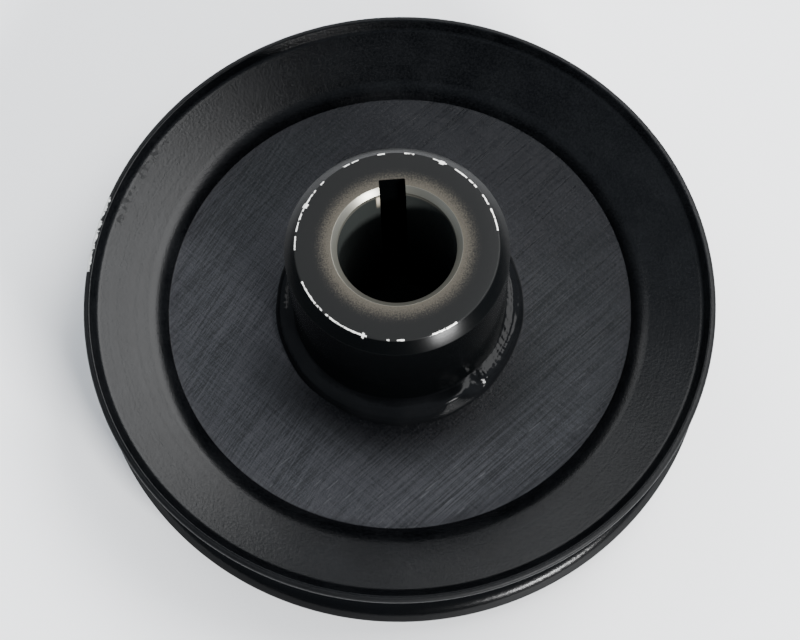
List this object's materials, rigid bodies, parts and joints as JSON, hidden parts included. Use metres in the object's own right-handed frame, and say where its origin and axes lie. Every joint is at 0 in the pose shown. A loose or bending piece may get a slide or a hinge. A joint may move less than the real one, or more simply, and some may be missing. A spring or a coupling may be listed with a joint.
{
  "type": "v belt pulley",
  "caption": "Single-groove V-belt pulley: pressed steel sheave with a flat recessed web, welded to a long keyed hub that clamps to a shaft.",
  "frame": {"origin": "centre of the hub's lower end face, on the shaft axis", "axes": "+Z along the shaft axis towards the long end of the hub; +Y through the middle of the keyway"},
  "size_m": [0.1588, 0.1588, 0.0603],
  "materials": {
    "sheave_paint": "satin black enamel on pressed sheet, ground flat web",
    "hub_paint": "satin black enamel, worn to bare steel at the bore and edges",
    "weld_paint": "glossy black enamel pooled on the bead",
    "weld_steel": "fused steel inside the web, out of sight"
  },
  "bodies": {
    "root": {"hub": "hub_paint", "upper_sheave_half": "sheave_paint", "lower_sheave_half": "sheave_paint", "upper_hub_weld": "weld_paint", "lower_hub_weld": "weld_paint", "spot_welds": "weld_steel"}
  },
  "joints": []
}
